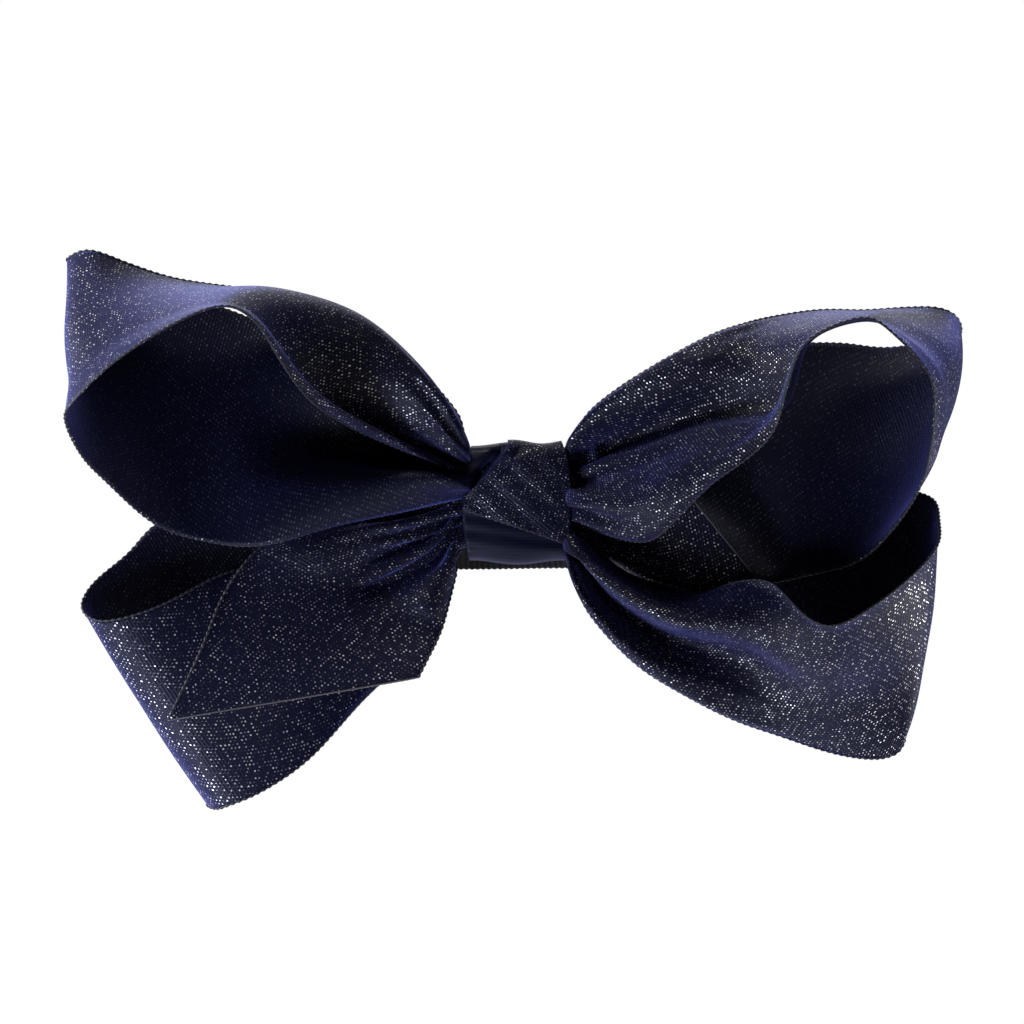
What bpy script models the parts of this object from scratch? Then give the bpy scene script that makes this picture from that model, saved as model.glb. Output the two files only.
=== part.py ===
"""Cheer hair bow on a sprung hair clip. Metres, +Z up; the bow faces -Y.

The origin is the middle of the grip between the clip's jaws. The ribbons are laid out
in whole millimetres about the knot's centre, then moved to where the knot sits.
"""
import bpy
import math
import numpy as np
from mathutils import Vector

MM = 0.001
THICK = 0.5              # ribbon thickness as modelled
KNOT_AT = (0.0, -14.6, 6.0)   # knot centre from the origin
KNOT_W = 23.0            # knot, left to right
KNOT_H = 26.0            # knot, top to bottom
KNOT_D = 18.0            # knot, front to back
WALL = 0.8               # knot wrap's wall
GAP = 0.3                # between pieces that touch
JAW_W = 9.5              # clip's width
STEEL = 0.8              # clip's sheet
PIN_AT = (11.0, 1.0)     # hinge pin, along the clip and behind the grip
PIN_R = 0.9
RUN = 0.05               # running clearance round the pin
WIRE = 0.35              # spring wire radius
THREAD = 0.35            # binding thread radius

for thing in list(bpy.data.objects):
    bpy.data.objects.remove(thing)

bow = bpy.data.collections.new("cheer_hair_bow")
bpy.context.scene.collection.children.link(bow)
cutters = bpy.data.collections.new("cutters")
bpy.context.scene.collection.children.link(cutters)


def material(name, colour, rough, metal=0.0):
    made = bpy.data.materials.new(name)
    made.use_nodes = True
    shader = made.node_tree.nodes["Principled BSDF"]
    shader.inputs["Base Color"].default_value = (*colour, 1)
    shader.inputs["Roughness"].default_value = rough
    shader.inputs["Metallic"].default_value = metal
    return made


def add(name, mesh, look):
    made = bpy.data.objects.new(name, mesh)
    bow.objects.link(made)
    mesh.materials.clear()
    mesh.materials.append(look)
    return made


def mesh_of(name, corners, faces):
    made = bpy.data.meshes.new(name)
    made.from_pydata([tuple(c) for c in corners], [], faces)
    made.update()
    return made


def applied(thing):
    """The object again, with its modifiers turned into one plain mesh."""
    seen = bpy.context.evaluated_depsgraph_get()
    mesh = bpy.data.meshes.new_from_object(thing.evaluated_get(seen))
    name = thing.name
    look = thing.data.materials[0]
    bpy.data.objects.remove(thing)
    return add(name, mesh, look)


def solidified(thing, thickness, offset=0.0):
    wall = thing.modifiers.new("wall", "SOLIDIFY")
    wall.thickness = thickness * MM
    wall.offset = offset
    return applied(thing)


def joined(thing, other, way):
    """Boolean of two objects; the second becomes a cutter or is used up."""
    step = thing.modifiers.new("join", "BOOLEAN")
    step.operation = way
    step.solver = "EXACT"
    step.object = other
    made = applied(thing)
    bpy.data.objects.remove(other)
    return made


# ---------------------------------------------------------------- ribbon strips
def line_through(points, at):
    """Smooth line through the points, read at the given places along it."""
    p = np.array(points, float)
    p = np.vstack([2 * p[0] - p[1], p, 2 * p[-1] - p[-2]])
    at = np.clip(at, 0, len(points) - 1.000001)
    i = at.astype(int)
    t = (at - i)[:, None]
    a, b, c, d = p[i], p[i + 1], p[i + 2], p[i + 3]
    return 0.5 * (2 * b + (c - a) * t + (2 * a - 5 * b + 4 * c - d) * t ** 2
                  + (3 * b - a - 3 * c + d) * t ** 3)


def strip(name, mouth, back, rows, look, cols=6):
    """A ribbon strip lofted between its two selvedges, spaced evenly along it."""
    fine = np.linspace(0, len(mouth) - 1, 900)
    mid = 0.5 * (line_through(mouth, fine) + line_through(back, fine))
    steps = np.linalg.norm(np.diff(mid, axis=0), axis=1)
    run = np.concatenate([[0], np.cumsum(steps)])
    at = np.interp(np.linspace(0, run[-1], rows), run, fine)
    a = line_through(mouth, at)
    b = line_through(back, at)
    grid = []
    for row in range(rows):
        for col in range(cols):
            place = a[row] + (b[row] - a[row]) * col / (cols - 1)
            grid.append(Vector(place + np.array(KNOT_AT)) * MM)
    faces = [(r * cols + c, (r + 1) * cols + c, (r + 1) * cols + c + 1, r * cols + c + 1)
             for r in range(rows - 1) for c in range(cols - 1)]
    made = add(name, mesh_of(name, grid, faces), look)
    for face in made.data.polygons:
        face.use_smooth = True
    return solidified(made, THICK)


navy = {}
for piece in ("upper_left_loop", "lower_left_loop", "left_tail", "upper_right_loop",
              "lower_right_loop", "right_tail", "knot_wrap", "knot_fold"):
    navy[piece] = material("navy_" + piece, (0.010, 0.012, 0.045), 0.5)

# Selvedge points are (across, up, back) from the knot: out from it, round, and back in.
MOUTH = {
    "upper_left_loop": [
        (-1, 3, -5), (-12, 3, -6), (-25, 7, -16), (-39, 13, -27), (-49, 21, -36),
        (-53, 31, -43), (-58, 40, -47), (-64, 43, -48), (-75, 37, -48), (-86, 29, -46),
        (-94, 20, -41), (-95, 17, -35), (-93, 11, -28), (-87, 3, -20), (-77, -4, -15),
        (-64, -9, -13), (-54, -9, -12), (-39, -5, -9), (-25, -2, -6), (-12, 1, -4),
        (-1, 2, -3.5)],
    "upper_right_loop": [
        (1, 0, -5), (12, -4, -6), (20, -7, -14), (28, -8, -21), (34, -3, -27),
        (41, 4, -31), (48, 9, -35), (54, 15, -39), (57, 25, -44), (61, 34, -49),
        (73, 39, -50), (80, 35, -48), (87, 27, -46), (88, 19, -43), (87, 10, -40),
        (85, 3, -34), (80, -5, -26), (73, -12, -18), (63, -15, -12), (52, -17, -6),
        (39, -16, -4), (26, -12, -1), (12, -6, 1), (1, -4, 1)],
    "lower_left_loop": [
        (-1, 1, 0), (-12, 1, 0), (-21, -5, -2), (-36, -10, -4), (-50, -13, -6),
        (-62, -15, -9), (-74, -21, -15), (-82, -24, -17), (-89, -25, -15),
        (-92, -21, -10), (-90, -17, -5), (-83, -11, -1), (-76, -4, 1), (-64, 0, 3),
        (-46, 1, 4), (-25, 2, 4), (-12, 2, 4), (-1, 1, 4)],
    "lower_right_loop": [
        (1, -1, -3.5), (12, -5, -4), (22, -14, -9), (37, -19, -15), (46, -17, -18),
        (54, -17, -23), (61, -24, -33), (67, -26, -38), (75, -22, -37), (84, -15, -32),
        (90, -8, -24), (90, -4, -16), (88, 1, -8), (79, 3, -2), (64, 3, 2), (43, 2, 3),
        (26, 1, 4), (12, 1, 4.5), (1, 1, 4.5)],
    "left_tail": [
        (-1, 4, -2), (-12, 2, -2.5), (-25, -1, -4), (-42, -4, -7), (-54, -9, -9),
        (-62, -19, -14), (-67, -31, -19), (-74, -46, -22)],
    "right_tail": [
        (1, 8, -1), (12, 9, -1.5), (16, 14, -3), (20, 18, -4), (23, 20, -5)],
}
BACK = {
    "upper_left_loop": [
        (-1, 9, -5), (-12, 10, -6), (-16, 22, -8), (-25, 34, -4), (-37, 41, -1),
        (-46, 44, 1), (-54, 46, 1), (-61, 46, -1), (-73, 48, -4), (-83, 51, -5),
        (-92, 54, -5), (-94, 53, -2), (-92, 51, 3), (-83, 48, 5), (-74, 45, 5),
        (-64, 42, 6), (-54, 38, 6), (-40, 31, 5), (-25, 21, 4), (-12, 9, -3),
        (-1, 8, -3.5)],
    "upper_right_loop": [
        (1, 9, -5), (12, 10, -6), (17, 21, -8), (22, 25, -6), (28, 30, -4),
        (35, 34, -2), (42, 37, -1), (48, 39, 0), (54, 40, 1), (64, 41, 2),
        (74, 41, 0), (82, 42, -2), (89, 42, -4), (93, 41, -4), (94, 39, -1),
        (92, 36, 4), (87, 34, 6), (78, 33, 6), (68, 34, 6), (55, 33, 5),
        (39, 27, 5), (24, 18, 3), (12, 9, 1.5), (1, 8, 1.5)],
    "lower_left_loop": [
        (-1, -9, 0), (-12, -10, 0), (-16, -21, -1), (-23, -32, -4), (-33, -42, -7),
        (-44, -54, -10), (-54, -61, -12), (-61, -64, -12), (-64, -65, -9),
        (-66, -64, -4), (-64, -63, 0), (-59, -58, 3), (-50, -49, 5), (-42, -38, 6),
        (-30, -25, 6), (-19, -14, 5), (-12, -9, 4), (-1, -9, 4)],
    "lower_right_loop": [
        (1, -9, -3.5), (12, -10, -4), (17, -20, -8), (28, -32, -10), (37, -39, -10),
        (47, -44, -9), (57, -48, -8), (66, -50, -8), (74, -53, -11), (80, -53, -14),
        (83, -51, -16), (83, -48, -11), (77, -42, -4), (67, -34, 1), (54, -27, 4),
        (37, -19, 5), (22, -12, 5), (12, -9, 4.5), (1, -9, 4.5)],
    "left_tail": [
        (-1, -9, -2), (-12, -10, -2.5), (-12, -15, -4), (-13, -20, -6), (-14, -25, -9),
        (-16, -29, -11), (-19, -33, -14), (-21, -37, -16)],
    "right_tail": [
        (1, -9, -1), (12, -9, -1.5), (24, -15, -4), (38, -20, -8), (53, -19, -10)],
}
for piece, mouth in MOUTH.items():
    rows = 36 if piece.endswith("loop") else 14
    strip(piece, [(x, y, z) for x, z, y in mouth], [(x, y, z) for x, z, y in BACK[piece]],
          rows, navy[piece])


# ---------------------------------------------------------------- knot
def ring(half_y, half_z, corner, count):
    """Rounded rectangle round the knot as (back, up) points, starting at the back."""
    points = []
    for quarter, (sy, sz) in enumerate(((1, 1), (-1, 1), (-1, -1), (1, -1))):
        for step in range(count):
            turn = (quarter + step / (count - 1)) * math.pi / 2
            points.append((sy * (half_y - corner) + corner * math.cos(turn),
                           sz * (half_z - corner) + corner * math.sin(turn)))
    return points


def sleeve(name, outline, left, right, closed, look, thickness):
    """A band of ribbon that follows the outline, thickened inwards."""
    corners = []
    for index, (y, z) in enumerate(outline):
        for x in (left(index), right(index)):
            corners.append(Vector((x + KNOT_AT[0], y + KNOT_AT[1], z + KNOT_AT[2])) * MM)
    count = len(outline)
    last = count if closed else count - 1
    faces = []
    for index in range(last):
        here = 2 * index
        after = 2 * ((index + 1) % count)
        faces.append((here, here + 1, after + 1, after))
    made = add(name, mesh_of(name, corners, faces), look)
    for face in made.data.polygons:
        face.use_smooth = True
    return solidified(made, thickness, 1.0)


half_d = KNOT_D / 2
half_h = KNOT_H / 2
sleeve("knot_wrap", ring(half_d - 1.0, half_h - 1.0, 3.2, 7),
       lambda i: -KNOT_W / 2, lambda i: KNOT_W / 2, True, navy["knot_wrap"], WALL)

# The outer turn comes over the top and stops in a selvedge low on the front.
over = ring(half_d + 0.1, half_h + 0.1, 4.2, 7)[2:18]
count = len(over)
sleeve("knot_fold", over,
       lambda i: -KNOT_W / 2 + 0.4 + (7.0 if i < 8 else max(0.0, 7.0 - 1.6 * (i - 7))),
       lambda i: KNOT_W / 2 - 0.4, False, navy["knot_fold"], WALL)


def wire(name, path, radius, look):
    """A round wire along the path, with capped ends."""
    data = bpy.data.curves.new(name, "CURVE")
    data.dimensions = "3D"
    data.bevel_depth = radius * MM
    data.bevel_resolution = 2
    data.use_fill_caps = True
    spline = data.splines.new("POLY")
    spline.points.add(len(path) - 1)
    for point, place in zip(spline.points, path):
        point.co = (*(Vector(place) * MM), 1)
    made = bpy.data.objects.new(name, data)
    bow.objects.link(made)
    data.materials.append(look)
    return made


thread_look = material("navy_thread", (0.02, 0.02, 0.05), 0.7)
turns = 3
steps = 24
path = []
for step in range(turns * steps + 1):
    turn = 2 * math.pi * step / steps
    c, s = math.cos(turn), math.sin(turn)
    reach = (abs(c) ** 8 + abs(s) ** 8) ** -0.125
    path.append((KNOT_AT[0] - 1.5 + 3.0 * step / (turns * steps),
                 KNOT_AT[1] - 0.4 + 5.9 * reach * c,
                 KNOT_AT[2] + 10.5 * reach * s))
wire("gather_thread", path, THREAD, thread_look)

# ---------------------------------------------------------------- clip
BACK_OF_KNOT = KNOT_AT[1] + half_d - 1.0
JAW_OUT = -3.4           # fixed jaw's outer face
LINING_T = 0.5


def block(name, low, high, look):
    x0, y0, z0 = low
    x1, y1, z1 = high
    outline = [(x0, y0), (x1, y0), (x1, y1), (x0, y1)]
    return prism(name, outline, z0, z1, look)


def prism(name, outline, z0, z1, look):
    """A flat shape in the clip's side view, given its width across the clip."""
    count = len(outline)
    corners = [Vector((x, y, z)) * MM for z in (z0, z1) for x, y in outline]
    faces = [tuple(reversed(range(count))), tuple(range(count, 2 * count))]
    faces += [(i, (i + 1) % count, count + (i + 1) % count, count + i)
              for i in range(count)]
    return add(name, mesh_of(name, corners, faces), look)


glue = material("clear_glue", (0.75, 0.72, 0.62), 0.35)
lining = material("black_grosgrain", (0.006, 0.006, 0.008), 0.75)
steel = material("nickel_steel", (0.62, 0.62, 0.64), 0.28, 1.0)
spring_steel = material("spring_steel", (0.5, 0.5, 0.52), 0.32, 1.0)
pin_steel = material("pin_steel", (0.55, 0.55, 0.57), 0.3, 1.0)

LINING_Y = JAW_OUT - GAP - LINING_T
block("glue_pad", (-8, BACK_OF_KNOT + GAP, -3.5), (8, LINING_Y - GAP, 4.5), glue)
block("clip_lining", (-24, LINING_Y, -8), (24, LINING_Y + LINING_T, 8), lining)

half_w = JAW_W / 2
ear_out = half_w
ear_in = half_w - STEEL
low_out = ear_in - GAP
low_in = low_out - STEEL
px, py = PIN_AT


def round_end(radius, start, stop, count):
    return [(px + radius * math.cos(math.radians(start + (stop - start) * i / (count - 1))),
             py + radius * math.sin(math.radians(start + (stop - start) * i / (count - 1))))
            for i in range(count)]


def cylinder(name, radius, z0, z1, look, sides=32):
    outline = [(px + radius * math.cos(2 * math.pi * i / sides),
                py + radius * math.sin(2 * math.pi * i / sides)) for i in range(sides)]
    return prism(name, outline, z0, z1, look)


# Fixed jaw: a flat strip with a rounded nose and two ears that carry the pin.
jaw_in = JAW_OUT + STEEL
nose = [(-23 + half_w - half_w * math.sin(a), half_w * math.cos(a))
        for a in (math.radians(180 * i / 12) for i in range(13))]
flat = [(24.0 - 1.0, -half_w), (24.0 - 1.0, half_w)] + nose
corners = [Vector((x, y, z)) * MM for y in (JAW_OUT, jaw_in) for x, z in flat]
count = len(flat)
faces = [tuple(range(count)), tuple(reversed(range(count, 2 * count)))]
faces += [((i + 1) % count, i, count + i, count + (i + 1) % count) for i in range(count)]
upper = add("clip_fixed_jaw", mesh_of("clip_fixed_jaw", corners, faces), steel)
for side in (-1, 1):
    ear = [(px - 3.4, jaw_in - 0.3), (px + 3.4, jaw_in - 0.3)] + round_end(2.2, 0, 180, 9)
    z0, z1 = sorted((side * ear_in, side * ear_out))
    upper = joined(upper, prism("ear", ear, z0, z1, steel), "UNION")
hole = cylinder("hole", PIN_R + RUN, -8, 8, steel)
upper = joined(upper, hole, "DIFFERENCE")

# Moving jaw: toothed nose, straight prong, ears inside the fixed ones, thumb lever.
inner = [(-22, -0.9), (px, 5.0), (23, 9.5)]
outer = [(23.0 - 0.28, 9.5 + 0.75), (px - 0.2, 5.0 + 0.8), (-22 - 0.14, -0.9 + 0.79)]
lower = prism("clip_moving_jaw", inner + outer, -low_out, low_out, steel)
for side in (-1, 1):
    ear = [(px + 3.0, 6.1), (px - 3.0, 4.8)] + round_end(2.2, 180, 360, 9)
    z0, z1 = sorted((side * low_in, side * low_out))
    lower = joined(lower, prism("ear", ear, z0, z1, steel), "UNION")
for row in range(4):
    z = -low_out + low_out * 2 * (row + 0.5) / 4
    tooth = prism("tooth", [(-22.1, -0.5), (-22.1, jaw_in + GAP), (-21.3, jaw_in + GAP),
                            (-20.9, -0.3)], z - 0.55, z + 0.55, steel)
    lower = joined(lower, tooth, "UNION")
hole = cylinder("hole", PIN_R + RUN, -8, 8, steel)
lower = joined(lower, hole, "DIFFERENCE")

# Pin with a head at each end.
pin = cylinder("clip_pin", PIN_R, -half_w - 0.7, half_w + 0.7, pin_steel)
for side in (-1, 1):
    z0, z1 = sorted((side * (half_w + 0.1), side * (half_w + 0.8)))
    pin = joined(pin, cylinder("head", 1.6, z0, z1, pin_steel, 24), "UNION")

# Torsion spring: coils round the pin, a leg pressing on each lever.
coil_r = PIN_R + 0.3 + WIRE
coils = 3.5
path = [(19.5, jaw_in + GAP + WIRE, -1.75)]
for step in range(int(coils * 20) + 1):
    turn = -math.pi / 2 - 2 * math.pi * step / 20
    path.append((px + coil_r * math.cos(turn), py + coil_r * math.sin(turn),
                 -1.75 + 3.5 * step / (coils * 20)))
path.append((19.5, 7.3, 1.75))
wire("clip_spring", path, WIRE, spring_steel)

cutters.hide_render = True
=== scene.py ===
"""Looks of the cheer hair bow: ribbons shaped from their flat cut, knot, thread and clip."""
import math

import bpy
import numpy as np
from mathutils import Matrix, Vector


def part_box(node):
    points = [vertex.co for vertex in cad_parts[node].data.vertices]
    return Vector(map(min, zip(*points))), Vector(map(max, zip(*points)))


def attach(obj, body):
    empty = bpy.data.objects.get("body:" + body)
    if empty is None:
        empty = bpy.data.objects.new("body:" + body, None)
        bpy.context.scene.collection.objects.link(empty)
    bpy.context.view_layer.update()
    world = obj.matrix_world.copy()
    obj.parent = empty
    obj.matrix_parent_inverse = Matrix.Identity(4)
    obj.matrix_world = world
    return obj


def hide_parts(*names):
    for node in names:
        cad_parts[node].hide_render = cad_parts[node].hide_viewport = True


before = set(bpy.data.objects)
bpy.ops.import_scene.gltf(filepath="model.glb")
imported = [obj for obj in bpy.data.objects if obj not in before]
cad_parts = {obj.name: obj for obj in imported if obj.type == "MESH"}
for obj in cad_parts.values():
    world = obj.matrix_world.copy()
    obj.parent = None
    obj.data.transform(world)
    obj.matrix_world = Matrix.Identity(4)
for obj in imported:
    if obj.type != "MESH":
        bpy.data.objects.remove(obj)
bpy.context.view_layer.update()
scene = bpy.context.scene

# Lengths of the bow are in mm, those of the camera and the lights in m.
MM = 0.001
RIBBON_WIDTH = 50.0
RIBBON_WALL = 0.3
low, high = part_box("knot_wrap")
KNOT = np.array((low + high) / 2) / MM
KNOT_HALF = np.array((high - low) / 2) / MM


# ------------------------------------------------------------------ camera and light
SENSOR, STAND_OFF, VIEW_WIDTH = 36, 5.0, 0.2179         # mm, m, m
AIM = Vector((KNOT[0] - 1.1, KNOT[1], KNOT[2] - 1.9)) * MM
camera = bpy.data.objects.new("camera", bpy.data.cameras.new("camera"))
scene.collection.objects.link(camera)
camera.data.sensor_width = SENSOR
camera.data.lens = SENSOR * STAND_OFF / VIEW_WIDTH
camera.data.clip_end = 20
camera.location = AIM + Vector((0, -STAND_OFF, 0))
camera.rotation_euler = (math.radians(90), 0, 0)
scene.camera = camera


def area_light(name, place, size, power, colour=(1, 1, 1)):
    """A square lamp aimed at the knot, unseen by the camera; power in W."""
    lamp = bpy.data.lights.new(name, "AREA")
    lamp.shape = "SQUARE"
    lamp.size = size
    lamp.energy = power
    lamp.color = colour
    made = bpy.data.objects.new(name, lamp)
    made.location = place
    made.rotation_euler = (AIM - Vector(place)).to_track_quat("-Z", "Y").to_euler()
    made.visible_camera = False
    scene.collection.objects.link(made)


# Two low side lamps graze the loops, a high one models the folds, a small bluish one
# lifts the lower left, and a broad one behind shows the clip.
area_light("left", (-0.36, -0.035, 0.1), 0.1, 1.9)
area_light("right", (0.38, -0.04, -0.08), 0.14, 1.4)
area_light("top", (-0.2, -0.3, 1.2), 0.3, 6)
area_light("foot", (-0.17, -0.15, -0.15), 0.1, 0.6, (0.72, 0.76, 1.0))
area_light("rear", (0.0, 1.0, 0.6), 0.9, 4)


def backdrop(fill):
    """A white ground where the camera sees it, and a faint cool fill everywhere else."""
    world = bpy.data.worlds.new("studio")
    scene.world = world
    world.use_nodes = True
    tree = world.node_tree
    soft = tree.nodes["Background"]
    soft.inputs["Color"].default_value = (0.9, 0.93, 1, 1)
    soft.inputs["Strength"].default_value = fill
    white = tree.nodes.new("ShaderNodeBackground")
    white.inputs["Color"].default_value = (1, 1, 1, 1)
    white.inputs["Strength"].default_value = 1.0
    seen = tree.nodes.new("ShaderNodeLightPath")
    either = tree.nodes.new("ShaderNodeMixShader")
    tree.links.new(seen.outputs["Is Camera Ray"], either.inputs[0])
    tree.links.new(soft.outputs[0], either.inputs[1])
    tree.links.new(white.outputs[0], either.inputs[2])
    tree.links.new(either.outputs[0], tree.nodes["World Output"].inputs["Surface"])


backdrop(fill=0.015)
scene.view_settings.view_transform = "Standard"


# ------------------------------------------------------------------ materials
class Nodes:
    """Short ways to add and join a material's nodes."""

    def __init__(self, name):
        self.material = bpy.data.materials.new(name)
        self.material.use_nodes = True
        self.tree = self.material.node_tree
        self.shader = self.tree.nodes["Principled BSDF"]

    def put(self, value, socket):
        """Joins a node's output to the socket, or sets the socket to a plain value."""
        if isinstance(value, bpy.types.NodeSocket):
            self.tree.links.new(value, socket)
        else:
            socket.default_value = value

    def add(self, kind, **sockets):
        node = self.tree.nodes.new("ShaderNode" + kind)
        for name, value in sockets.items():
            self.put(value, node.inputs[name.replace("_", " ")])
        return node

    def surface(self, **sockets):
        for name, value in sockets.items():
            self.put(value, self.shader.inputs[name.replace("_", " ")])

    def maths(self, way, a, b=None, c=None):
        node = self.tree.nodes.new("ShaderNodeMath")
        node.operation = way
        for index, value in enumerate((a, b, c)):
            if value is not None:
                self.put(value, node.inputs[index])
        return node.outputs[0]

    def mix(self, how_much, a, b):
        node = self.tree.nodes.new("ShaderNodeMix")
        node.data_type = "RGBA"
        self.put(how_much, node.inputs["Factor"])
        self.put(a, node.inputs[6])
        self.put(b, node.inputs[7])
        return node.outputs[2]

    def flat_place(self):
        """(along, across) of the flat ribbon in mm."""
        place = self.add("UVMap")
        place.uv_map = "flat"
        apart = self.add("SeparateXYZ", Vector=place.outputs[0])
        return apart.outputs[0], apart.outputs[1]

    def bump(self, height, depth, strength=1.0):
        node = self.add("Bump", Height=height, Strength=strength, Distance=depth)
        self.surface(Normal=node.outputs[0])


# The weave's pitches: its ribs, the threads that bind them, and the metallic yarns' grid.
RIB, BINDING = 0.72, 0.45
YARN_ROW, YARN_GAP = 0.72, 0.95
SHEEN_BLUE = (0.27, 0.30, 1.0, 1)


def shaded(base, share):
    return tuple(c * share for c in base) + (1,)


def weave(n, base, along, across):
    """Height and colour of the ribs and the finer threads that bind them, softly blotched."""
    rib = n.maths("SINE", n.maths("MULTIPLY", along, 2 * math.pi / RIB))
    bind = n.maths("SINE", n.maths("MULTIPLY", across, 2 * math.pi / BINDING))
    height = n.maths("MULTIPLY_ADD", n.maths("MULTIPLY", rib, bind), 0.5, rib)
    place = n.add("CombineXYZ", X=along, Y=across)
    blotch = n.add("TexNoise", Vector=place.outputs[0], Scale=0.09, Detail=3.0)
    shade = n.mix(blotch.outputs["Fac"], shaded(base, 0.7), shaded(base, 1.35))
    thread = n.maths("MULTIPLY_ADD", height, 0.35, 0.5)
    return height, n.mix(n.maths("MULTIPLY", thread, 0.6), shade, shaded(base, 2.6))


def yarn_flecks(n, along, across, fine):
    """Where the metallic yarns come up, in wavy staggered rows, and how bright each one is: a
    painted glint, drawn at random, for yarns catching the light at different angles.
    """
    row_pitch, pitch = YARN_ROW * fine, YARN_GAP * fine
    place = n.add("CombineXYZ", X=along, Y=across)
    wave = n.add("TexNoise", Vector=place.outputs[0], Scale=0.35)
    row_at = n.maths("DIVIDE", n.maths("MULTIPLY_ADD", wave.outputs["Fac"], 0.9, along), row_pitch)
    row = n.maths("FLOOR", row_at)
    stagger = n.maths("MULTIPLY", n.maths("FLOORED_MODULO", row, 3.0), 0.34)
    col_at = n.maths("ADD", n.maths("DIVIDE", across, pitch), stagger)
    col = n.maths("FLOOR", col_at)
    cell = n.add("CombineXYZ", X=row, Y=col)
    chance = n.add("TexWhiteNoise", Vector=cell.outputs[0]).outputs["Value"]
    dy = n.maths("MULTIPLY", n.maths("SUBTRACT", n.maths("SUBTRACT", row_at, row), 0.5), row_pitch)
    dx = n.maths("MULTIPLY", n.maths("SUBTRACT", n.maths("SUBTRACT", col_at, col), 0.5), pitch)
    away = n.maths("SQRT", n.maths("ADD", n.maths("MULTIPLY", n.maths("MULTIPLY", dx, dx), 0.6),
                                   n.maths("MULTIPLY", dy, dy)))
    # Painted glint: each fleck's brightness, and with it its size, is drawn at random to stand for
    # yarns that catch the light at different angles.
    bright = n.maths("POWER", chance, 2.6)
    radius = n.maths("MULTIPLY_ADD", bright, 0.09 * fine, 0.085 * fine)
    fleck = n.maths("LESS_THAN", away, radius)
    return n.maths("MULTIPLY", fleck, n.maths("GREATER_THAN", chance, 0.3)), bright


def ribbon_material(name, base, flecks=1.0, sheen=0.5, fine=1.0):
    """Ribbed navy weave; flecks says how bright its metallic yarns are, fine how small."""
    n = Nodes(name)
    along, across = n.flat_place()
    height, shade = weave(n, base, along, across)
    n.surface(Specular_IOR_Level=0.16, Sheen_Weight=sheen, Sheen_Roughness=0.42,
              Sheen_Tint=SHEEN_BLUE)
    if not flecks:
        n.surface(Base_Color=shade, Roughness=0.42)
        n.bump(height, 0.00001, 0.5)
        return n.material
    fleck, bright = yarn_flecks(n, along, across, fine)
    # The yarns run from dark to silver by their painted glint.
    silver = n.mix(bright, (0.05, 0.05, 0.08, 1), (flecks, flecks, 0.95 * flecks, 1))
    n.surface(Base_Color=n.mix(fleck, shade, silver), Metallic=n.maths("MULTIPLY", fleck, 0.6),
              Roughness=n.maths("MULTIPLY_ADD", fleck, -0.1, 0.5))
    n.bump(n.maths("MULTIPLY_ADD", fleck, 1.2, height), 0.00003, 0.8)
    return n.material


def plain_material(name, colour, rough, metal=0.0, **more):
    """A material with fine uneven colour, roughness and grain."""
    n = Nodes(name)
    where = n.add("TexCoord")
    noise = n.add("TexNoise", Vector=where.outputs["Object"], Scale=900.0, Detail=4.0)
    grain = noise.outputs["Fac"]
    n.surface(Base_Color=n.mix(grain, shaded(colour[:3], 0.75), colour), Metallic=metal,
              Roughness=n.maths("MULTIPLY_ADD", grain, 0.14, rough - 0.07), **more)
    n.bump(grain, 0.00001, 0.3)
    return n.material


NAVY = ribbon_material("navy_flecked_ribbon", (0.0028, 0.0031, 0.0095))
# Painted shade: the weave is the same on both sides, but the inner face gets a darker base and dim
# flecks so the loops' insides read as shaded.
INSIDE_PAINTED_SHADE = ribbon_material("navy_ribbon_inside_painted_shade", (0.0022, 0.0025, 0.0085), flecks=0.14, sheen=0.5)
PULLED = ribbon_material("navy_pulled_ribbon", (0.0035, 0.004, 0.012), flecks=0.8, fine=0.72)
SATIN = ribbon_material("navy_plain_side", (0.004, 0.0045, 0.012), flecks=0, sheen=0.3)
SELVEDGE = plain_material("navy_selvedge", (0.006, 0.007, 0.018, 1), 0.6)
SEALED = plain_material("sealed_cut", (0.09, 0.088, 0.092, 1), 0.45)
THREAD = plain_material("navy_thread", (0.02, 0.02, 0.05, 1), 0.7)
LINING = plain_material("black_grosgrain", (0.006, 0.006, 0.007, 1), 0.7, Sheen_Weight=0.2)
GLUE = plain_material("clear_glue", (0.8, 0.76, 0.62, 1), 0.3, Transmission_Weight=0.4)
NICKEL = plain_material("nickel_plate", (0.68, 0.67, 0.65, 1), 0.24, 1.0)
SPRING = plain_material("spring_wire", (0.5, 0.5, 0.52, 1), 0.3, 1.0)


# ------------------------------------------------------------------ lines and meshes
def line_through(points, at):
    """The smooth line through the points, read at fractions of their index."""
    p = np.array(points, float)
    p = np.vstack([2 * p[0] - p[1], p, 2 * p[-1] - p[-2]])
    at = np.clip(at, 0, len(points) - 1.000001)
    i = at.astype(int)
    t = (at - i)[:, None]
    a, b, c, d = p[i], p[i + 1], p[i + 2], p[i + 3]
    return 0.5 * (2 * b + (c - a) * t + (2 * a - 5 * b + 4 * c - d) * t ** 2
                  + (3 * b - a - 3 * c + d) * t ** 3)


def run_of(line):
    """How far along the line each of its points is."""
    return np.concatenate([[0], np.cumsum(np.linalg.norm(np.diff(line, axis=0), axis=1))])


def evenly(line, step):
    """The line's points moved to even steps, and how far along each is."""
    run = run_of(line)
    at = np.linspace(0, run[-1], max(int(run[-1] / step), 4))
    return np.stack([np.interp(at, run, line[:, k]) for k in range(3)], 1), at


def hump(away, width):
    """1 where away is 0, falling softly to nothing at twice the width."""
    return np.exp(-(away / width) ** 2)


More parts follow.
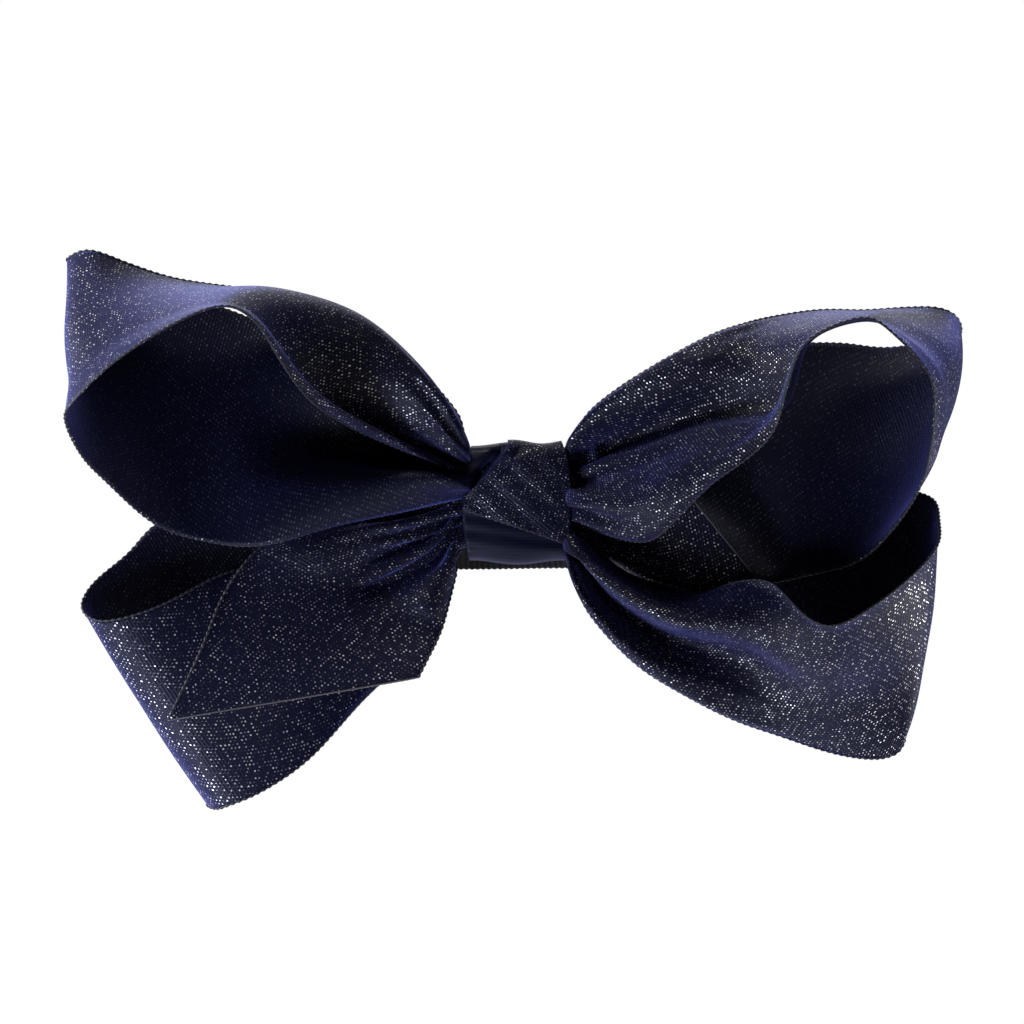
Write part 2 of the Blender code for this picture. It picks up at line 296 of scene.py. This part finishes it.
def finer(g, times):
    """The grid read more finely both ways, on smooth lines."""
    for _ in range(2):
        count, other, deep = g.shape
        at = np.linspace(0, count - 1, (count - 1) * times + 1)
        g = line_through(g.reshape(count, other * deep), at).reshape(len(at), other, deep)
        g = g.transpose(1, 0, 2)
    return g


def shown(name, points, faces, look):
    """A smooth object from points in mm."""
    mesh = bpy.data.meshes.new(name)
    mesh.from_pydata([tuple(p) for p in points.reshape(-1, 3) * MM], [], faces)
    mesh.shade_smooth()
    mesh.materials.append(look)
    thing = bpy.data.objects.new(name, mesh)
    scene.collection.objects.link(thing)
    return thing


def grid_mesh(name, g, flat, look, turned=False):
    """A sheet through a grid of points, which carries each point's place on the flat cloth."""
    rows, cols = g.shape[:2]
    faces = [(i * cols + j, (i + 1) * cols + j, (i + 1) * cols + j + 1, i * cols + j + 1)
             for i in range(rows - 1) for j in range(cols - 1)]
    if turned:
        faces = [face[::-1] for face in faces]
    thing = shown(name, g, faces, look)
    mesh = thing.data
    corner = np.zeros(len(mesh.loops), np.int32)
    mesh.loops.foreach_get("vertex_index", corner)
    layer = mesh.uv_layers.new(name="flat")
    layer.data.foreach_set("uv", flat.reshape(-1, 2)[corner].astype(np.float32).ravel())
    return thing


def tube(name, line, radius, look, sides=6):
    """A tube along the line, with a radius at each point."""
    run = np.gradient(line, axis=0)
    run /= np.maximum(np.linalg.norm(run, axis=1, keepdims=True), 1e-9)
    side = np.zeros_like(line)
    last = np.cross(run[0], (0.3, 0.5, 0.8))
    for i, way in enumerate(run):
        last = last - way * np.dot(last, way)
        last /= max(np.linalg.norm(last), 1e-9)
        side[i] = last
    other = np.cross(run, side)
    corners = []
    for k in range(sides):
        turn = 2 * math.pi * k / sides
        corners.append(line + (side * math.cos(turn) + other * math.sin(turn)) * radius[:, None])
    count = len(line)
    faces = [(i * sides + k, (i + 1) * sides + k, (i + 1) * sides + (k + 1) % sides,
              i * sides + (k + 1) % sides) for i in range(count - 1) for k in range(sides)]
    faces += [tuple(range(sides)), tuple((count - 1) * sides + k for k in reversed(range(sides)))]
    return shown(name, np.stack(corners, 1), faces, look)


def beaded(name, line, pitch=1.45, step=0.42):
    """A selvedge of small loops of yarn along the ribbon's edge."""
    line, at = evenly(line, step)
    radius = 0.24 + 0.13 * np.cos(2 * math.pi * at / pitch)
    return tube(name, line, radius, SELVEDGE, 5)


# ------------------------------------------------------------------ ribbon shaping
# The run out becomes the run back between these shares of the way along the ribbon.
TURN_AT, TURN_OVER = 0.4, 0.2
# Folds fade over the last of their reach from the knot, to a trace that stays.
FOLD_REACH, FOLD_FADE, FOLD_TRACE = 64, 24, 0.08
SLIDE_FROM, SLIDE_OVER = 30, 10     # where folds that slide across pass their drawn place
ROUND_OVER = 12                     # how far in from its outer end a loop is rounded
# In a turn of settling, a stretch is put right in full and a squeeze by this share.
SQUEEZE = 0.45
# Resistance to bending: its strength, and (reach, near the knot, away from it).
BEND = 0.25
STIFFNESS = ((1, 0.8, 1.0), (3, 0.03, 0.25))
STIFF_FROM, STIFF_OVER = 15, 25     # where the ribbon turns from slack to stiff
WRAP_ROOM = (1.6, 1.3, 1.4)         # how far inside the knot's sides the ribbons stay


def folded(swells, v):
    """A wave across the ribbon: each swell is (where it ends, how far it stands out)."""
    wave = np.zeros(v.shape)
    a = 0.0
    for b, size in swells:
        part = (v >= a) & (v <= b)
        wave[part] = size * np.sin(math.pi * (v[part] - a) / (b - a))
        a = b
    return wave


def fold_depth(wave, chord, need):
    """How deep the wave must be in each row for the cloth across it to be as long as need."""
    cols = wave.shape[1]
    deep, most = np.zeros(len(wave)), np.full(len(wave), 200.0)
    for _ in range(30):
        half = (deep + most) / 2
        long = np.hypot(half[:, None] * np.diff(wave, axis=1), chord[:, None] / (cols - 1)).sum(1)
        deep, most = np.where(long < need, half, deep), np.where(long < need, most, half)
    return deep


def first_shape(mouth, back, rows, cols, facing, going, deepest, coming=((1, 0),), slide=0,
                round_end=0):
    """The strip between its selvedges, with its spare width taken up in folds.

    Returns its grid of points, and the place of each on the flat ribbon.
    """
    fine = np.linspace(0, len(mouth) - 1, 2000)
    fa, fb = line_through(mouth, fine), line_through(back, fine)
    mid = run_of((fa + fb) / 2) + run_of(fa) / 2 + run_of(fb) / 2
    at = np.interp(np.linspace(0, mid[-1], rows), mid, fine)
    a, b = line_through(mouth, at), line_through(back, at)
    sa, sb = np.interp(at, fine, run_of(fa)), np.interp(at, fine, run_of(fb))
    sb += np.median(sa - sb)
    v = np.linspace(0, 1, cols)
    flat = np.stack([sa[:, None] * (1 - v) + sb[:, None] * v,
                     np.broadcast_to(v * RIBBON_WIDTH, (rows, cols))], -1)
    across = b - a
    chord = np.linalg.norm(across, axis=1)
    out = np.cross(np.gradient((a + b) / 2, axis=0), across)
    out /= np.maximum(np.linalg.norm(out, axis=1, keepdims=True), 1e-9)
    # The folds going out give way to those coming back round the outer end.
    part = np.linspace(0, 1, rows)[:, None]
    turned = np.clip((part - TURN_AT) / TURN_OVER, 0, 1)
    reach = np.abs((a + b)[:, :1] / 2)
    slid = v ** np.clip(1 - slide * (reach - SLIDE_FROM) / SLIDE_OVER, 0.3, 1.3)
    wave = facing * (folded(going, slid) * (1 - turned) - folded(coming, slid) * turned)
    # As deep as the spare width asks for, but shallower away from the knot.
    deep = fold_depth(wave, chord, np.sqrt(RIBBON_WIDTH ** 2 + (sa - sb) ** 2))
    shallow = np.clip((FOLD_REACH - reach[:, 0]) / FOLD_FADE, FOLD_TRACE, 1)
    shallow *= (deepest[0] * (1 - turned) + deepest[1] * turned)[:, 0]
    deep = np.minimum(deep, shallow / np.maximum(np.abs(wave).max(1), 1e-6))
    soft = np.hanning(9) / np.hanning(9).sum()
    deep = np.convolve(np.pad(deep, 4, "edge"), soft, "valid")
    grid = a[:, None] * (1 - v)[:, None] + b[:, None] * v[:, None]
    grid = grid + out[:, None] * (deep[:, None] * wave)[..., None]
    ends = hump(reach - reach.max(), ROUND_OVER)
    grid[..., 0] += np.sign(grid[..., 0]) * round_end * ends * np.sin(math.pi * v)
    return grid, flat


def neighbours(flat, loose):
    """Pairs of points next to each other, in sets that share no point.

    Each set has its points one and two, their distance in the flat, and each one's share of
    a move.
    """
    rows, cols = loose.shape[:2]
    pairs = []
    for down, side in ((1, 0), (0, 1), (1, 1), (1, -1)):
        for odd in (0, 1):
            if down:
                ia, ib = slice(odd, rows - 1, 2), slice(odd + 1, rows, 2)
                ja = slice(1, cols) if side < 0 else slice(0, cols - side)
                jb = slice(0, cols - 1) if side < 0 else slice(side, cols)
            else:
                ia = ib = slice(0, rows)
                ja, jb = slice(odd, cols - 1, 2), slice(odd + 1, cols, 2)
            one, two = (ia, ja), (ib, jb)
            rest = np.linalg.norm(flat[two] - flat[one], axis=-1, keepdims=True)
            total = np.maximum(loose[one] + loose[two], 1)
            give = 0.5 if down and side else 1.0
            pairs.append((one, two, rest, give * loose[one] / total, give * loose[two] / total))
    return pairs


def unbending(g, reach):
    """The move that takes each point to the middle of those at that reach on either side."""
    move = np.zeros_like(g)
    for grid, moved in ((g, move), (g.swapaxes(0, 1), move.swapaxes(0, 1))):
        middle = (grid[2 * reach:] + grid[:-2 * reach]) / 2 - grid[reach:-reach]
        moved[reach:-reach] += middle
        moved[:-2 * reach] -= middle / 2
        moved[2 * reach:] -= middle / 2
    return move


def settled(grid, flat, held, aim, pull, turns):
    """Brings the grid back to the flat ribbon's own lengths, drawn towards aim by pull.

    Inside the knot it stays within the wrap. Away from the knot it is stiffer against waves.
    """
    g = grid.copy()
    loose = np.where(held, 0.0, 1.0)[..., None]
    pairs = neighbours(flat, loose)
    room = KNOT_HALF - WRAP_ROOM
    for _ in range(turns):
        for one, two, rest, share_one, share_two in pairs:
            d = g[two] - g[one]
            size = np.maximum(np.linalg.norm(d, axis=-1, keepdims=True), 1e-9)
            move = (size - rest) / size * d * np.where(size < rest, SQUEEZE, 1.0)
            g[one] += share_one * move
            g[two] -= share_two * move
        stiff = np.clip((np.abs(g[..., :1]) - STIFF_FROM) / STIFF_OVER, 0, 1)
        for reach, near, far in STIFFNESS:
            g += BEND * (near + (far - near) * stiff) * unbending(g, reach) * loose
        g += pull * loose * (aim - g)
        inside = np.abs(g[..., 0]) < room[0]
        g[inside] = np.clip(g[inside], -room, room)
    return g


# ------------------------------------------------------------------ ribbons
# Selvedge points are (across, up, back) from the knot: out from it, round, and back in.
MOUTH = {
    "upper_left_loop": [
        (-1, 4, -5), (-12, 6.5, -6), (-25, 11.5, -12), (-36, 16.5, -21), (-44, 22, -31),
        (-50, 30, -39), (-55, 38, -44), (-62, 41.5, -47), (-73, 37.5, -47), (-86, 29, -45),
        (-94, 21, -41), (-95.5, 17.5, -36), (-92.5, 10.5, -28), (-87.5, 5, -21),
        (-77, -4.3, -14), (-66, -8, -11), (-54, -9, -13), (-39, -5, -12), (-25, -2, -9),
        (-12, 1, -5), (-1, 2, -3.5)],
    "upper_right_loop": [
        (1, 0, -5), (12, -4, -6), (20, -7, -14), (28, -8, -21), (34, -3, -27),
        (41, 4, -31), (48, 9, -35), (54, 15, -39), (57, 25, -44), (61, 34, -49),
        (73, 39, -50), (80, 35, -48), (87, 27, -46), (88, 19, -43), (87, 10, -40),
        (85, 3, -34), (80, -5, -26), (73, -12, -18), (63, -15, -12), (52, -17, -6),
        (39, -16, -4), (26, -12, -1), (12, -6, 1), (1, -4, 1)],
    "lower_left_loop": [
        (-1, 1, 0), (-12, 1, 0), (-21, -5, -2), (-36, -10, -4), (-50, -13, -6),
        (-62, -15, -9), (-74, -21, -15), (-82, -24, -17), (-89, -25, -15),
        (-92.5, -22, -10), (-90, -17, -5), (-83, -11, -1), (-76, -4, 1), (-64, 0, 3),
        (-46, 1, 4), (-25, 2, 4), (-12, 2, 4), (-1, 1, 4)],
    "lower_right_loop": [
        (1, -1, -3.5), (12, -5, -4), (22, -14, -9), (37, -19, -15), (46, -17, -18),
        (54, -17, -23), (61, -24, -33), (67, -26, -38), (75, -22, -37), (84, -15, -32),
        (89, -9, -24), (89.5, -4, -16), (88, 1, -8), (79, 3, -1), (64, 3, 4), (43, 2, 6.5),
        (26, 1, 6), (12, 1, 4.5), (1, 1, 4.5)],
    "left_tail": [
        (-1, 4, -2), (-12, 2, -2.5), (-25, -1, -4), (-42, -4, -7), (-54, -9, -9),
        (-62, -19, -14), (-67, -31, -19), (-74, -46, -22)],
    "right_tail": [
        (1, 8, -1.5), (12, 9, -3), (16, 13, -5), (20, 16, -7), (23, 18, -8)],
}
BACK = {
    "upper_left_loop": [
        (-1, 9, -5), (-10, 12, -6), (-13, 19.5, -8), (-23, 30.5, -4), (-35, 39.5, -1),
        (-46, 43.8, 1), (-53, 45.3, 1), (-61, 46, -1), (-73, 47.8, -4), (-83, 51, -5),
        (-91, 53.8, -5), (-95.5, 52, -2), (-94, 51, 3), (-83, 48, 5), (-74, 45, 5),
        (-64, 42, 6), (-54, 38, 6), (-40, 31, 5), (-25, 21, 4), (-12, 9, -3),
        (-1, 8, -3.5)],
    "upper_right_loop": [
        (1, 9, -5), (10, 12, -6), (15, 19, -10), (21, 24, -13), (28, 28.5, -16),
        (35, 32.5, -17), (42, 36, -16), (48, 38, -13), (54, 39.5, -8), (64, 41, -3),
        (74, 41, -2), (82, 41.5, -2), (89, 41.5, -4), (93, 40, -4), (94.5, 37, -1),
        (93, 35, 4), (87, 34, 6), (78, 33, 6), (68, 34, 6), (55, 33, 5),
        (39, 27, 5), (24, 18, 3), (12, 9, 1.5), (1, 8, 1.5)],
    "lower_left_loop": [
        (-1, -9, 0), (-12, -10, 0), (-16, -21, -1), (-23, -32, -4), (-33, -42, -7),
        (-44, -54, -10), (-54, -61, -12), (-61, -64, -12), (-64, -65, -9),
        (-66, -64, -4), (-64, -63, 0), (-59, -58, 3), (-50, -49, 5), (-42, -38, 6),
        (-30, -25, 6), (-19, -14, 5), (-12, -9, 4), (-1, -9, 4)],
    "lower_right_loop": [
        (1, -9, -3.5), (11, -13, -4), (15, -23, -8), (25, -34, -10), (36, -41, -10),
        (46, -46, -9), (56, -49.5, -8), (65, -52.5, -8), (72, -54, -11), (78, -54, -14),
        (81.5, -52, -16), (82, -48, -11), (77, -42, -4), (67, -34, 1), (54, -27, 4),
        (37, -19, 5), (22, -12, 5), (12, -9, 4.5), (1, -9, 4.5)],
    "left_tail": [
        (-1, -9, -2), (-12, -10, -2.5), (-13, -15, -4), (-14.2, -20, -6), (-15.5, -25, -9),
        (-17, -29, -11), (-19, -33, -14), (-21, -37, -16)],
    "right_tail": [
        (1, -9, -1), (12, -9, -1.5), (24, -15, -4), (38, -20, -8), (53, -19, -10)],
}
# The folds: which way the first run faces, the swells going out and coming back, their greatest
# depths, how far they slide across the ribbon on the way, and how much the outer end is rounded.
FOLDS = {
    "upper_left_loop": dict(
        facing=-1, going=((0.15, 0.12), (0.35, -0.3), (1, 0.5)),
        coming=((0.35, 0.4), (0.7, -0.3), (1, 0.15)), deepest=(8, 8)),
    "upper_right_loop": dict(
        facing=1, going=((0.4, 0.25), (0.48, -0.12), (0.56, 0.12), (0.78, -0.8), (1, 0.25)),
        coming=((0.35, 0.4), (0.7, -0.3), (1, 0.15)), deepest=(12, 5), slide=0.3, round_end=2.8),
    "lower_left_loop": dict(
        facing=1, going=((0.5, 0.3), (1, -0.15)), coming=((0.5, 0.3), (1, -0.2)),
        deepest=(4, 4), round_end=0.6),
    "lower_right_loop": dict(
        facing=-1, going=((0.1, -0.12), (0.5, 0.4), (0.75, -0.15), (1, 0.15)),
        coming=((0.5, 0.3), (1, -0.2)), deepest=(8, 4), round_end=1.4),
    "left_tail": dict(facing=1, going=((0.5, 0.2), (0.75, -0.1), (1, 0.15)), deepest=(3, 3)),
    "right_tail": dict(facing=-1, going=((0.4, 0.3), (0.7, -0.2), (1, 0.2)), deepest=(2.5, 2.5)),
}


LOOP_ROWS, TAIL_ROWS, COLS = 121, 43, 31
PULL, EDGE_PULL = 0.06, (0.1, 0.03, 0.1)        # towards the drawn shape, in a turn
SHAPING_TURNS, ROUNDS, ROUND_TURNS = 60, 4, 20
OUTER_FROM, OUTER_OVER = 50, 15                 # where the loops' outer ends begin


def ribbon_shape(name, loop):
    """The ribbon's settled grid, and each point's place on the flat ribbon."""
    rows, cols = (LOOP_ROWS if loop else TAIL_ROWS), COLS
    mouth, back = (np.array(edge[name], float)[:, (0, 2, 1)] for edge in (MOUTH, BACK))
    wanted, flat = first_shape(mouth, back, rows, cols, **FOLDS[name])
    held = np.zeros((rows, cols), bool)
    held[0] = True
    held[-1] = loop
    pull = np.full((rows, cols, 3), PULL)
    pull[:, 0] = pull[:, -1] = EDGE_PULL
    aim = wanted.copy()
    g = settled(wanted, flat, held, aim, pull, SHAPING_TURNS)
    # The selvedges and the outer end are brought back to their own lines.
    outer = np.clip((np.abs(wanted[..., :1]) - OUTER_FROM) / OUTER_OVER, 0, 1)
    for _ in range(ROUNDS):
        for j in (0, -1):
            aim[:, j] += (wanted[:, j] - g[:, j]) * (0.8, 0.2, 0.8)
        aim[:, 1:-1] += ((wanted - g) * outer)[:, 1:-1]
        g = settled(g, flat, held, aim, pull, ROUND_TURNS)
    both = finer(np.concatenate([g, flat], -1), 2)
    return both[..., :3] + KNOT, both[..., 3:]


def ribbon(name):
    """One length of ribbon with its two selvedges, and a tail's heat-sealed cut."""
    loop = name.endswith("loop")
    g, flat = ribbon_shape(name, loop)
    cloth = grid_mesh("ribbon_" + name, g, flat, NAVY, turned=FOLDS[name]["facing"] < 0)
    # The inner face takes the darker copy of the weave, which is painted shade.
    cloth.data.materials.append(INSIDE_PAINTED_SHADE)
    thick = cloth.modifiers.new("weave", "SOLIDIFY")
    thick.thickness = RIBBON_WALL * MM
    thick.material_offset = 1
    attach(cloth, "bow")
    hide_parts(name)
    edges = [beaded(f"selvedge_{name}_{k}", g[:, j]) for k, j in enumerate((0, -1))]
    if not loop:
        line, at = evenly(g[-1], 0.4)
        edges.append(tube(f"sealed_{name}", line, 0.17 + 0.03 * np.sin(at * 5), SEALED, 6))
    for edge in edges:
        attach(edge, "bow")


for piece in MOUTH:
    ribbon(piece)


# ------------------------------------------------------------------ knot
KNOT_STEP = 0.45                    # along the way round the knot
OUTER_START = 16                    # where the outer turn begins on that way
INNER = (8.2, 12.6, 3.4)            # half its depth and height, and its corners' radius
OUTER = (9.2, 13.0, 3.9)


def round_path(half_y, half_z, corner):
    """Evenly spaced (back, up) points round the knot: back, over the top, down the front."""
    points = [(half_y, 0)]
    for sy, sz, start in ((1, 1, 0), (-1, 1, 90), (-1, -1, 180), (1, -1, 270)):
        for k in range(9):
            turn = math.radians(start + 90 * k / 8)
            points.append((sy * (half_y - corner) + corner * math.cos(turn),
                           sz * (half_z - corner) + corner * math.sin(turn)))
    points.append((half_y, 0))
    line = np.array(points)
    run = run_of(line)
    at = np.arange(0, run[-1], KNOT_STEP)
    return at, np.stack([np.interp(at, run, line[:, k]) for k in range(2)], 1)


def knot_width(z):
    """Half the knot's width at a height: pinched towards its top and foot."""
    return 11.5 - 1.9 * np.clip(z / 13, 0, 1) ** 2.4 - 1.5 * np.clip(-z / 13, 0, 1) ** 2.5


def slant_at(z):
    """From 0 where the slanted fold leaves the knot's left side to 1 at the top."""
    return np.clip((z - 1.2) / 10.2, 0, 1)


def slanted(half, over):
    """Where the slanted fold lies across the knot, from its left (over 0) to the top (1)."""
    return -half + 0.8 * np.minimum(over * 4, 1) + (half - 2.8) * over ** 1.15


def pulled(x, z):
    """How far the front of the knot stands out: a soft barrel with strained creases."""
    half = knot_width(z)
    barrel = 1.5 * (1 - (x / half) ** 2)
    return barrel + 0.22 * np.sin(0.85 * x + 0.9 * z) * np.cos(x / half * 1.3)


def folded_piece(name, x, y, z, flat, look, wall):
    """A piece of ribbon wrapped round the knot, from its points and its flat places."""
    g = np.stack([x, y, z], -1) + KNOT
    made = grid_mesh(name, g, np.stack(flat, -1), look)
    thick = made.modifiers.new("wall", "SOLIDIFY")
    thick.thickness = wall * MM
    thick.offset = 0
    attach(made, "bow")
    return made


def inner_turn():
    """Once round the knot, plain side out, with a groove beside the slanted fold."""
    at, ring = round_path(*INNER)
    ring = np.vstack([ring, ring[:1]])
    u = np.linspace(-1, 1, 33)
    z = np.repeat(ring[:, 1:], len(u), 1)
    half = knot_width(z)
    x = half * u
    front = np.clip(-ring[:, :1] / INNER[0], -0.3, 1)
    y = ring[:, :1] - front * (1.3 * (1 - u ** 2)) - 0.1 * np.sin(z * 1.9 + x * 0.25) * front
    groove = hump(x - slanted(half, slant_at(z)) + 1.2, 1.35)
    y = y + 3.6 * groove * np.clip((z - 0.5) / 2, 0, 1) * np.clip(front, 0, 1)
    rim = np.clip((np.abs(z) - 9) / 4, 0, 1)
    z = z + np.sign(z) * rim * (0.5 * np.cos(x * 0.33) - 0.35)
    run = np.append(at, at[-1] + KNOT_STEP)[:, None] + 0 * x
    wrap = folded_piece("knot_inner_turn", x, y, z, (run, x), SATIN, 0.7)
    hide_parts("knot_wrap")


def outer_turn():
    """Over the top of the knot and down its front, folded on a slant at its left, to a
    selvedge that falls from left to right."""
    at, ring = round_path(*OUTER)
    begin = np.searchsorted(at, OUTER_START)
    at, ring = at[begin:], ring[begin:]
    u = np.linspace(0, 1, 61)
    foot = -1.4 - 7.4 * u           # the selvedge's height, left to right
    flat_front = ring[:, 0] < 0.4 - OUTER[0]
    stop = np.interp(-foot, -ring[flat_front, 1], at[flat_front])
    s_at = at[0] + (stop - at[0]) * np.linspace(0, 1, 71)[:, None]
    y = np.interp(s_at, at, ring[:, 0])
    z = np.interp(s_at, at, ring[:, 1])
    half = knot_width(z) - 0.15
    slant = slant_at(z)
    left = slanted(half, np.where((y < -6) | (z < 11), slant, 1.0))
    x = left + (half - left) * u
    front = np.clip(-y / OUTER[0], -0.2, 1)
    z = z + np.clip((z - 9) / 4, 0, 1) * (0.4 * np.cos(x * 0.5 + 0.5) - 0.2)
    # The fold stands up as a roll, with a hollow beside it.
    y = y - front * (pulled(x, z) - 0.2) - 1.2 * (hump(x - left, 1.1) * slant * front)
    y = y + 0.9 * hump(x - left - 2.9, 1.1) * slant * front
    # Its weave runs at 50 degrees to the knot.
    flat = (0.64 * x + 0.77 * (-s_at), 0.77 * x - 0.64 * (-s_at))
    turn = folded_piece("knot_outer_turn", x, y, z, flat, PULLED, 0.6)
    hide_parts("knot_fold")
    edge = beaded("knot_selvedge", np.stack([x, y - 0.1, z], -1)[-1] + KNOT)
    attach(edge, "bow")


inner_turn()
outer_turn()


# ------------------------------------------------------------------ clip, from hair_grip
LINING_AT = -3.95                   # how far in front of the grip it lies
LINING_HALF = (24, 8)
LINING_RIB = 1.2


def grosgrain_lining():
    """Grosgrain strip glued under the clip, its ribs standing across it."""
    half_x, half_z = LINING_HALF
    x, z = np.meshgrid(np.linspace(-half_x, half_x, 321), np.linspace(-half_z, half_z, 41),
                       indexing="ij")
    rib = np.cos(2 * math.pi * x / LINING_RIB)
    y = LINING_AT + 0.07 * rib - 0.1 * np.clip((np.abs(x) - 21) / 3, 0, 1) ** 2
    z = z * (1 + 0.012 * rib) + 0.12 * np.sin(x * 0.16)
    lining = grid_mesh("ribbed_lining", np.stack([x, y, z], -1), np.stack([x, z], -1), LINING)
    thick = lining.modifiers.new("weave", "SOLIDIFY")
    thick.thickness = 0.36 * MM
    thick.offset = 0
    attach(lining, "bow")
    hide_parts("clip_lining")


PIN_X, PIN_Y = 11.0, 1.0
COIL, HALF_COIL, WIRE = 1.55, 1.75, 0.35        # radius, half the length, wire's radius
LEG_END, FIXED_LEVER, MOVING_LEVER = 19.5, -1.95, 7.3


def coiled(start, end, z0, z1):
    """Round the pin from one angle to another, while going from z0 to z1."""
    turn = np.linspace(start, end, max(int(abs(end - start) * 6), 6))
    return np.stack([PIN_X + COIL * np.cos(turn), PIN_Y + COIL * np.sin(turn),
                     np.linspace(z0, z1, len(turn))], 1)


def torsion_spring():
    """The coils and one leg stay, and the other leg goes with its lever."""
    up = math.pi / 2
    coils = np.vstack([[(LEG_END, FIXED_LEVER, -HALF_COIL)],
                       coiled(7 * math.pi - up, up + 0.1, -HALF_COIL, HALF_COIL)])
    spring = tube("spring_coils", coils, np.full(len(coils), WIRE), SPRING, 10)
    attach(spring, "bow")
    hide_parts("clip_spring")
    line = np.vstack([coiled(up + 0.9, up, HALF_COIL, HALF_COIL),
                      [(LEG_END, MOVING_LEVER, HALF_COIL)]])
    leg = tube("spring_leg", line, np.full(len(line), WIRE + 0.01), SPRING, 10)
    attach(leg, "moving_jaw")


def as_packed(node, look, ease):
    """A piece of the frame shown in its own shape, with its edges eased."""
    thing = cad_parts[node]
    for slot in thing.material_slots:
        slot.material = look
    if ease:
        eased = thing.modifiers.new("eased", "BEVEL")
        eased.width = ease * MM
        eased.segments = 2
        eased.limit_method = "ANGLE"
        eased.angle_limit = math.radians(35)


grosgrain_lining()
torsion_spring()
as_packed("gather_thread", THREAD, 0)
as_packed("glue_pad", GLUE, 0.3)
as_packed("clip_fixed_jaw", NICKEL, 0.14)
as_packed("clip_moving_jaw", NICKEL, 0.14)
as_packed("clip_pin", NICKEL, 0.12)


# ------------------------------------------------------------------ floor
FLOOR_HALF, FLOOR_AT = 3000, -300
corners = np.array([(x * FLOOR_HALF, y * FLOOR_HALF, FLOOR_AT)
                    for x, y in ((-1, -1), (1, -1), (1, 1), (-1, 1))], float)
pale = plain_material("pale_floor", (0.86, 0.86, 0.87, 1), 0.8)
shown("floor", corners, [(0, 1, 2, 3)], pale)
